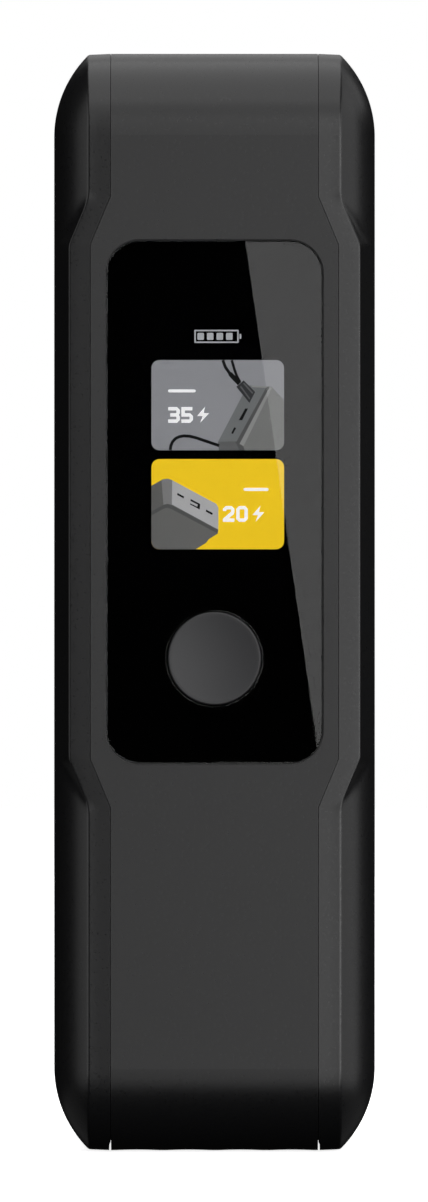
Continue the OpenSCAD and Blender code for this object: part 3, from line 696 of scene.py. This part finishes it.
class PACK_OT_window(bpy.types.Operator):
    """Makes the window glass with its polished edge and the hole for the button, and its black print."""

    bl_idname = "pack.window"
    bl_label = "Window glass"

    def execute(self, context):
        sizes = context.scene.pack_window
        low, high = (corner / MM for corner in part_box("display_glass"))
        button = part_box("button_cap")
        button_z = (button[0].z + button[1].z) / 2 / MM
        # a hair of air behind the pane keeps its back apart from the print, and the print from the tape
        pane_back, print_front, print_back = high.y - 0.02, high.y - 0.015, high.y - 0.003
        pane = plate(round_corners(low.x, low.z, high.x, high.z, sizes.glass_corner, 16), low.y, pane_back)
        cut_round_hole(pane, button_z, sizes.hole_radius, low.y)
        apply_modifier(pane, "BEVEL", width=sizes.glass_bevel * MM, segments=3, limit_method="ANGLE",
                       angle_limit=math.radians(40))
        smooth(pane, 12)
        hand_over(pane, "window_glass_pane", finish_of("window_glass"),
                  stands_for=["display_glass"])
        # the black print behind the pane leaves only the screen's lit area open
        rim, border = sizes.print_inset, sizes.print_border
        print_layer = plate(round_corners(low.x + rim, low.z + rim, high.x - rim, high.z - rim,
                                          sizes.glass_corner - rim, 16), print_front, print_back)
        cut_round_hole(print_layer, button_z, sizes.print_hole, low.y)
        panel_low, panel_high = (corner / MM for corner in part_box("screen_panel"))
        opening = plate(round_corners(panel_low.x + border, panel_low.z + border, panel_high.x - border,
                                      panel_high.z - border, 0.5, 4), low.y, high.y + 1)
        cut_with(print_layer, opening)
        smooth(print_layer, 12)
        hand_over(print_layer, "window_black_print", black_print())
        return {"FINISHED"}


def strokes(points, width):
    """The outline of a bent line of an even width."""
    points = [Vector(p) for p in points]
    left, right = [], []
    for i, point in enumerate(points):
        along = (points[min(i + 1, len(points) - 1)] - points[max(i - 1, 0)]).normalized()
        side = Vector((-along.y, along.x)) * width / 2
        left.append(tuple(point + side))
        right.append(tuple(point - side))
    return left + right[::-1]


def digit(figure, x, z, wide=1.15, tall=1.57, weight=0.34, cut=0.28):
    """Outlines of a plain bold digit with cut corners, from its lower left corner."""
    mid, half = tall / 2, weight / 2
    if figure == "3":
        parts = [[(0, 0), (wide - cut, 0), (wide, cut), (wide, mid - 0.14), (wide - 0.12, mid),
                  (wide, mid + 0.14), (wide, tall - cut), (wide - cut, tall), (0, tall), (0, tall - weight),
                  (wide - weight, tall - weight), (wide - weight, mid + half), (0.2, mid + half),
                  (0.2, mid - half), (wide - weight, mid - half), (wide - weight, weight), (0, weight)]]
    elif figure == "5":
        parts = [[(0, 0), (wide - cut, 0), (wide, cut), (wide, mid + half - cut), (wide - cut, mid + half),
                  (weight, mid + half), (weight, tall - weight), (wide - 0.06, tall - weight),
                  (wide - 0.06, tall), (0, tall), (0, mid - half), (wide - weight, mid - half),
                  (wide - weight, weight), (0, weight)]]
    elif figure == "2":
        parts = [[(0, 0), (wide, 0), (wide, weight), (0.56, weight), (wide - 0.08, 0.74), (wide, 0.98),
                  (wide, tall - cut), (wide - cut, tall), (cut, tall), (0, tall - cut), (0, tall - 0.5),
                  (weight, tall - 0.5), (weight, tall - weight), (wide - weight, tall - weight),
                  (wide - weight, 1.0), (0, 0.3)]]
    else:
        left = [(wide / 2, 0), (cut, 0), (0, cut), (0, tall - cut), (cut, tall), (wide / 2, tall),
                (wide / 2, tall - weight), (weight, tall - weight), (weight, weight), (wide / 2, weight)]
        parts = [left, [(wide - u, v) for u, v in left]]
    return [[(x + u, z + v) for u, v in part] for part in parts]


def bolt(x, z, size):
    """The outline of a charge bolt."""
    shape = [(0.55, 1.0), (0.05, 0.42), (0.4, 0.42), (0.25, 0.0), (0.8, 0.6), (0.46, 0.6)]
    return [(x + u * size, z + v * size) for u, v in shape]


GREY_CARD = (-6.27, 69.78)
YELLOW_CARD = (-6.27, 59.94)
CARD_SIZE = (13.18, 8.97)
CARD_CORNER = 0.8
LAYER = 0.025  # each picture layer is this thick, in millimetres

# What the grey card shows: a pack seen from above one end, with a plug in it and a looped lead.
# Each area is (finish, layer, outline in millimetres from the card's lower left corner).
GREY_ART = [
    ("broad", 1, [(11.95, 6.32), (13.16, 5.0), (13.16, 0.8), (13.12, 0.49), (12.95, 0.23),
                  (12.69, 0.06), (12.4, 0), (9.3, 0), (8.75, 0.5)]),
    ("end", 1, [(9.57, 6.46), (11.95, 6.32), (8.75, 0.5), (8.3, 0.9), (6.62, 0.84)]),
    ("low_side", 1, [(6.62, 0.84), (8.3, 0.9), (8.75, 0.5), (9.3, 0), (6.7, 0)]),
    ("edge_shade", 2, [(11.45, 6.3), (11.75, 6.3), (8.75, 0.62), (8.45, 0.85)]),
    ("glint", 2, [(11.75, 6.3), (12.0, 6.22), (9.15, 0.4), (8.75, 0.62)]),
    ("edge_shade", 2, [(8.3, 0.9), (8.45, 0.85), (9.15, 0.4), (9.25, 0), (8.7, 0), (8.55, 0.45)]),
    ("glint", 2, [(9.95, 6.42), (11.45, 6.34), (11.45, 6.2), (9.95, 6.28)]),
    ("socket", 2, [(9.32, 4.15), (9.6, 4.15), (9.03, 3.0), (8.68, 3.0)]),
    ("socket", 2, [(8.23, 2.29), (8.42, 2.2), (8.1, 1.62), (7.93, 1.7)]),
    ("plug", 2, [(9.17, 6.95), (10.31, 5.79), (9.74, 4.71), (8.43, 6.31)]),
    ("plug_rib", 3, [(9.1, 6.62), (9.24, 6.72), (10.12, 5.72), (10.02, 5.6)]),
    ("plug_rib", 3, [(8.8, 6.3), (8.92, 6.4), (9.82, 5.16), (9.72, 5.05)]),
    ("lead", 3, strokes([(7.1, 8.95), (7.35, 8.26), (7.85, 7.55), (8.6, 6.72)], 0.3)),
    ("lead", 3, strokes([(7.98, 8.95), (8.22, 8.15), (8.45, 7.45), (8.8, 6.8)], 0.26)),
    ("lead", 2, strokes([(7.8, 7.62), (8.75, 6.62)], 0.46)),
    ("lead", 3, strokes([(1.87, 0.02), (1.93, 0.45), (2.1, 0.85), (2.4, 1.17), (2.78, 1.35), (3.2, 1.43),
                         (3.8, 1.4), (4.5, 1.22), (5.3, 0.95), (6.73, 0.46)], 0.3)),
    ("white", 2, round_corners(1.65, 5.75, 4.4, 6.05, 0.15, 4)),
    ("white", 2, bolt(4.45, 2.73, 1.6)),
]
GREY_ART += [("white", 2, outline) for outline in digit("3", 1.67, 2.73) + digit("5", 2.98, 2.73)]

# What the yellow card shows: a pack lying with its three sockets towards the front.
YELLOW_ART = [
    ("flank", 1, [(0, 6.32), (1.15, 6.96), (1.65, 7.02), (2.07, 6.86), (2.03, 4.46), (1.23, 4.41),
                  (0, 3.74)]),
    ("flank_light", 2, [(1.0, 6.88), (1.15, 6.96), (1.65, 7.02), (2.07, 6.86), (2.03, 4.42), (1.6, 4.52),
                        (1.2, 4.42)]),
    ("front", 1, [(2.07, 6.86), (6.43, 4.52), (6.65, 4.16), (6.65, 1.96), (2.03, 4.46)]),
    ("under", 1, [(0, 3.74), (1.23, 4.41), (2.03, 4.46), (6.65, 1.96), (6.6, 1.57), (5.7, 1.0), (5.45, 0.65),
                  (4.4, 0), (0.8, 0), (0.49, 0.06), (0.23, 0.23), (0.06, 0.49), (0, 0.8)]),
    ("edge_shade", 2, [(0, 3.74), (1.2, 4.42), (1.6, 4.5), (2.03, 4.38), (6.6, 1.9), (6.55, 1.62),
                       (6.2, 1.78), (2.0, 4.0), (1.55, 4.14), (1.25, 4.05), (0, 3.36)]),
    ("socket", 2, [(2.6, 5.6), (3.25, 5.25), (3.2, 5.05), (2.55, 5.4)]),
    ("socket", 2, [(3.9, 5.0), (4.85, 4.5), (4.8, 3.95), (3.85, 4.45)]),
    ("front", 3, [(3.84, 4.82), (4.6, 4.44), (4.56, 4.22), (3.84, 4.58)]),
    ("socket", 2, [(5.45, 3.95), (6.1, 3.6), (6.05, 3.4), (5.4, 3.75)]),
    ("white", 2, round_corners(9.15, 5.8, 11.65, 6.1, 0.15, 4)),
    ("white", 2, bolt(9.95, 2.73, 1.6)),
]
YELLOW_ART += [("white", 2, outline) for outline in digit("2", 7.1, 2.73) + digit("0", 8.43, 2.73)]


class PACK_OT_screen_pictures(bpy.types.Operator):
    """Makes the two lit cards on the screen with their plain pictures, and the gauge above them."""

    bl_idname = "pack.screen_pictures"
    bl_label = "Screen pictures"

    def execute(self, context):
        colours = context.scene.pack_colours
        panel_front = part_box("screen_panel")[0].y / MM
        tints = {"broad": "#6c6d6c", "end": "#656768", "low_side": "#58595a", "edge_shade": "#4c4d4d",
                 "glint": "#7f807f", "socket": "#161718", "plug": "#333436", "plug_rib": "#515254",
                 "lead": "#161718", "white": "#ececee", "flank": "#585857", "flank_light": "#727273",
                 "front": "#a0a0a2", "under": "#5e5e5d", "gauge": "#a2a4a8"}
        glow = colours.screen_glow
        lit = {name: lit_picture("lit_" + name + "_area", tint, glow) for name, tint in tints.items()}
        for name, corner, art, tint in (("grey", GREY_CARD, GREY_ART, colours.grey_card),
                                        ("yellow", YELLOW_CARD, YELLOW_ART, colours.yellow_card)):
            x, z = corner
            card = plate(round_corners(x, z, x + CARD_SIZE[0], z + CARD_SIZE[1], CARD_CORNER),
                         panel_front - 2 * LAYER, panel_front - LAYER)
            hand_over(card, "screen_card_" + name, lit_picture("lit_" + name + "_card", tint, glow))
            for finish in sorted({entry[0] for entry in art}):
                areas = [plate([(x + u, z + v) for u, v in outline],
                               panel_front - (2 + level) * LAYER, panel_front - (1 + level) * LAYER)
                         for kind, level, outline in art if kind == finish]
                hand_over(join(areas), "screen_" + name + "_" + finish, lit[finish])
        # a plain battery gauge above the cards: four bars, four sides and a stub
        middle, low = 0.3, 80.45
        rects = [(-2.0 + 0.95 * k, 0.3, -1.35 + 0.95 * k, 1.0, 0.1) for k in range(4)]
        rects += [(-2.3, 0, 2.1, 0.14, 0.06), (-2.3, 1.16, 2.1, 1.3, 0.06), (-2.3, 0, -2.16, 1.3, 0.06),
                  (1.96, 0, 2.1, 1.3, 0.06), (2.18, 0.4, 2.36, 0.9, 0.06)]
        areas = [plate(round_corners(middle + x0, low + z0, middle + x1, low + z1, radius, 3),
                       panel_front - 2 * LAYER, panel_front - LAYER)
                 for x0, z0, x1, z1, radius in rects]
        hand_over(join(areas), "screen_charge_gauge", lit["gauge"])
        return {"FINISHED"}


class PACK_OT_button(bpy.types.Operator):
    """Makes the push button with its dished face, rounded rim, flange and post."""

    bl_idname = "pack.button"
    bl_label = "Button"

    def execute(self, context):
        sizes = context.scene.pack_window
        low, high = (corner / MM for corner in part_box("button_cap"))
        radius, face, centre_z = sizes.button_radius, low.y, (low.z + high.z) / 2
        dish, rim, turn = sizes.dish_depth, sizes.dish_radius, sizes.button_rim
        # the dish is part of a ball
        ball = (rim * rim + dish * dish) / (2 * dish)
        profile = [(0.0, face + dish)]
        for k in range(1, 15):
            r = rim * k / 14
            profile.append((r, face + dish - (ball - math.sqrt(ball * ball - r * r))))
        # a narrow land round the dish turns over in a small round
        profile += [(radius - turn + turn * math.sin(a), face + turn * (1 - math.cos(a)))
                    for a in (math.pi / 2 * k / 4 for k in range(0, 5))]
        # the flange behind the frame, and the post
        flange, post = high.x, sizes.post_radius
        flange_front, flange_back = FRONT + 2.15, FRONT + 2.75
        profile += [(radius, flange_front), (flange, flange_front), (flange, flange_back),
                    (post, flange_back), (post, high.y), (0.0, high.y)]
        piece = turned(profile, centre_z, 96)
        smooth(piece, 35)
        hand_over(piece, "push_button", finish_of("button_plastic"),
                  body="button", stands_for=["button_cap"])
        return {"FINISHED"}


# ---------------------------------------------------------------- finishes on the CAD nodes


class PACK_OT_finishes(bpy.types.Operator):
    """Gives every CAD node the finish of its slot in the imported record."""

    bl_idname = "pack.finishes"
    bl_label = "Finishes"

    def execute(self, context):
        slots = {part["node"]: part["material_slot"] for part in frame["record"]["subparts"]}
        left = sorted(set(frame["nodes"]) - set(slots))
        if left:
            raise RuntimeError(f"no finish for {left}")
        for name, node in frame["nodes"].items():
            finish = finish_of(slots[name])
            if not node.material_slots:
                node.data.materials.append(finish)
            for place in node.material_slots:
                place.material = finish
        return {"FINISHED"}


# ---------------------------------------------------------------- stage


SENSOR = 36.0  # the width of the camera's sensor in millimetres
# the plane that the frame height is measured on lies this far behind the front face, in millimetres
SHARP_PLANE = 7.5

# Each soft light: its name, its place and the point it faces in metres, its width and height, its radiance.
SOFTBOXES = [
    ("side_right_softbox", (1.6, -1.05, 0.4), (0, -1.05, 0.4), 1.6, 1.5, 1.3),
    ("far_right_softbox", (1.6, 0.25, 0.4), (0, 0.25, 0.4), 1.0, 1.5, 0.8),
    ("side_left_softbox", (-1.6, -0.95, 0.4), (0, -0.95, 0.4), 1.5, 1.5, 1.15),
    ("far_left_softbox", (-1.6, 0.1, 0.4), (0, 0.1, 0.4), 0.6, 1.5, 0.55),
    # low lights behind stand in for what a pale floor would send back
    ("low_rear_right_softbox", (1.1, 1.1, -0.7), (0, 0, 0.05), 1.4, 0.8, 0.07),
    ("low_rear_left_softbox", (-1.1, 1.1, -0.7), (0, 0, 0.05), 1.4, 0.8, 0.07),
    ("upper_right_softbox", (1.2, 0.95, 0.85), (0, 0, 0.05), 0.9, 0.9, 0.5),
    # a narrow light that only the crisp edge between margin and rounded edge throws back
    ("right_edge_strip", (1.5, -1.25, 0.03), (0, 0, 0.03), 0.35, 0.6, 4.8),
    ("front_top_softbox", (0, -1.45, 1.35), (0, 0, 0.05), 1.7, 0.75, 1.1),
    ("top_softbox", (0, -0.05, 1.4), (0, -0.05, 0), 1.8, 2.2, 1.6),
    ("top_rear_softbox", (0, 1.5, 1.1), (0, 0, 0.05), 1.4, 0.95, 0.75),
    ("rear_softbox", (0, 1.8, 0.1), (0, 0, 0.1), 0.4, 0.9, 0.8),
]


def softbox(name, place, aim, width, height, radiance, roll=0.0):
    """A rectangular soft light of an even brightness."""
    clear_selection()
    bpy.ops.object.light_add(type="AREA", location=place)
    lamp = bpy.context.object
    lamp.name = name
    lamp.data.shape = "RECTANGLE"
    lamp.data.size, lamp.data.size_y = width, height
    lamp.data.energy = radiance * math.pi * width * height
    turn = (Vector(aim) - Vector(place)).to_track_quat("-Z", "Y")
    lamp.rotation_euler = turn.to_euler()
    lamp.rotation_euler.rotate_axis("Z", math.radians(roll))
    lamp.visible_camera = False
    return lamp


class PACK_OT_stage(bpy.types.Operator):
    """Sets up the pale floor, the soft lights, the white surroundings and the camera."""

    bl_idname = "pack.stage"
    bl_label = "Stage"

    def execute(self, context):
        scene, settings = context.scene, context.scene.pack_stage
        scene.view_settings.view_transform = "Standard"
        scene.view_settings.look = "None"

        clear_selection()
        bpy.ops.mesh.primitive_plane_add(size=settings.floor_size, location=(0, 0, -0.0001))
        floor = context.object
        floor.name = "floor"
        material, tree, place = new_material("matt_white_paper")
        gloss = spread(tree, noise(tree, place, 2.5), 0.8, 0.95)
        # painted light and shade: the paper glows with light of its own, a little dimmer near the pack and
        # more further out; this keeps the paper white and leaves the lights' shadow as a pale shadow near
        # the pack
        away = add(tree, "ShaderNodeVectorMath", {0: place}, operation="LENGTH")
        glow = spread(tree, away.outputs["Value"], 0.86, 1.0, 0.12, 0.5)
        shader = add(tree, "ShaderNodeBsdfPrincipled", {
            "Base Color": linear("#f4f4f4"), "Roughness": gloss,
            "Emission Color": linear("#ffffff"), "Emission Strength": glow})
        # the paper hides nothing from below, so the base of the pack can be seen
        under = add(tree, "ShaderNodeNewGeometry").outputs["Backfacing"]
        clear = add(tree, "ShaderNodeBsdfTransparent")
        sheet = add(tree, "ShaderNodeMixShader", {
            0: under, 1: shader.outputs["BSDF"], 2: clear.outputs["BSDF"]})
        add(tree, "ShaderNodeOutputMaterial", {"Surface": sheet.outputs["Shader"]})
        floor.data.materials.append(material)
        floor.visible_diffuse = floor.visible_glossy = floor.visible_shadow = False
        floor.visible_transmission = False

        # white surroundings for the eye, and a dim even light on the object
        world = bpy.data.worlds.new("surroundings")
        scene.world = world
        world.use_nodes = True
        tree = world.node_tree
        tree.nodes.clear()
        ray = add(tree, "ShaderNodeLightPath")
        dim = add(tree, "ShaderNodeBackground", {"Color": linear("#ffffff"), "Strength": 0.003})
        white = add(tree, "ShaderNodeBackground", {"Color": linear("#ffffff"), "Strength": 1.0})
        mix = add(tree, "ShaderNodeMixShader", {"Fac": ray.outputs["Is Camera Ray"]})
        tree.links.new(dim.outputs["Background"], mix.inputs[1])
        tree.links.new(white.outputs["Background"], mix.inputs[2])
        add(tree, "ShaderNodeOutputWorld", {"Surface": mix.outputs["Shader"]})

        key = settings.key_radiance
        distance = settings.frame_height * settings.lens / SENSOR
        # the front softbox stands just behind the camera, and its slanting left edge is what the window
        # glass throws back as a slanting line of light
        slant, width, height = 8.1, 1.9, 2.2
        edge = Vector((0.0171, -distance - 0.2, 0.055))
        across = Vector((math.cos(math.radians(slant)), 0, math.sin(math.radians(slant))))
        up = Vector((-across.z, 0, across.x))
        centre = edge + across * width / 2 + up * 0.05
        softbox("front_right_softbox", centre, centre + Vector((0, 1, 0)), width, height, 2.25 * key,
                roll=slant)
        for name, place, aim, wide, tall, radiance in SOFTBOXES:
            softbox(name, place, aim, wide, tall, radiance * key)

        clear_selection()
        bpy.ops.object.camera_add(
            location=(-0.00005, (FRONT + SHARP_PLANE) * MM - distance, settings.aim_height),
            rotation=(math.pi / 2, 0, 0))
        camera = context.object
        camera.name = "camera"
        camera.data.sensor_width = SENSOR
        camera.data.lens = settings.lens
        camera.data.clip_start, camera.data.clip_end = 0.01, 20.0
        scene.camera = camera
        clear_selection()
        return {"FINISHED"}


# ---------------------------------------------------------------- panel and registration


STEPS = [PACK_OT_finishes, PACK_OT_covers, PACK_OT_window, PACK_OT_screen_pictures, PACK_OT_button,
         PACK_OT_stage]
SETTINGS = {"pack_case": CaseSizes, "pack_window": WindowSizes, "pack_colours": FinishColours,
            "pack_stage": StageSettings}


class PACK_PT_panel(bpy.types.Panel):
    """Lists the settings and the steps."""

    bl_label = "Battery Pack"
    bl_idname = "PACK_PT_panel"
    bl_space_type = "VIEW_3D"
    bl_region_type = "UI"
    bl_category = "Battery Pack"

    def draw(self, context):
        for group in SETTINGS:
            settings = getattr(context.scene, group)
            box = self.layout.box()
            for name in settings.__annotations__:
                box.prop(settings, name)
        for step in STEPS:
            self.layout.operator(step.bl_idname)


CLASSES = [*SETTINGS.values(), *STEPS, PACK_PT_panel]


def register():
    for cls in CLASSES:
        bpy.utils.register_class(cls)
    for name, group in SETTINGS.items():
        setattr(bpy.types.Scene, name, bpy.props.PointerProperty(type=group))


def unregister():
    for name in SETTINGS:
        delattr(bpy.types.Scene, name)
    for cls in reversed(CLASSES):
        bpy.utils.unregister_class(cls)


def main():
    register()
    bpy.ops.pack.finishes()
    bpy.ops.pack.covers()
    bpy.ops.pack.window()
    bpy.ops.pack.screen_pictures()
    bpy.ops.pack.button()
    bpy.ops.pack.stage()


if __name__ == "__main__":
    main()
